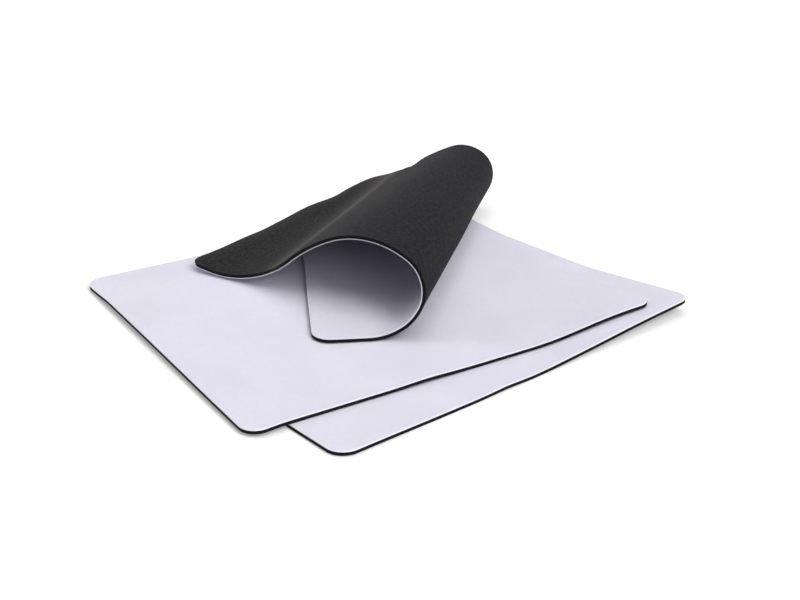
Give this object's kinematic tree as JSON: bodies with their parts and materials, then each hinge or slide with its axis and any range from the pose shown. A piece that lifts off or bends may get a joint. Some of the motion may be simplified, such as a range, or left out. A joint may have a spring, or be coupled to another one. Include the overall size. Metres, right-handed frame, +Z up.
{
  "type": "mouse pad",
  "caption": "Thin rectangular cloth-faced rubber mouse pads with rounded corners, stacked at an angle with the top pad loosely rolled, giving a mouse a smooth surface.",
  "frame": {"origin": "middle of the lower pad's underside, on the desk", "axes": "+Z up from the desk, +Y along the rolled pad's roll from its open front end to its back end, +X to the upturned end of the flat pads"},
  "size_m": [0.2827, 0.3137, 0.0436],
  "materials": {
    "rubber": "matt foamed rubber with a fine textile-like emboss",
    "bond": "thin adhesive film",
    "cloth": "smooth fine knitted polyester, white with a faint lavender cast"
  },
  "bodies": {
    "lower_pad": {"lower_pad_rubber_base": "rubber", "lower_pad_bond_film": "bond", "lower_pad_cloth_face": "cloth"},
    "upper_pad": {"upper_pad_rubber_base": "rubber", "upper_pad_bond_film": "bond", "upper_pad_cloth_face": "cloth"},
    "rolled_pad": {"rolled_pad_rubber_base": "rubber", "rolled_pad_bond_film": "bond", "rolled_pad_cloth_face": "cloth"}
  },
  "joints": [
    {"name": "upper_pad_lift", "type": "slide", "parent": "lower_pad", "child": "upper_pad", "axis": [0, 0, 1], "range_m": [0, 0.1]},
    {"name": "rolled_pad_lift", "type": "slide", "parent": "upper_pad", "child": "rolled_pad", "axis": [0, 0, 1], "range_m": [0, 0.1]}
  ]
}
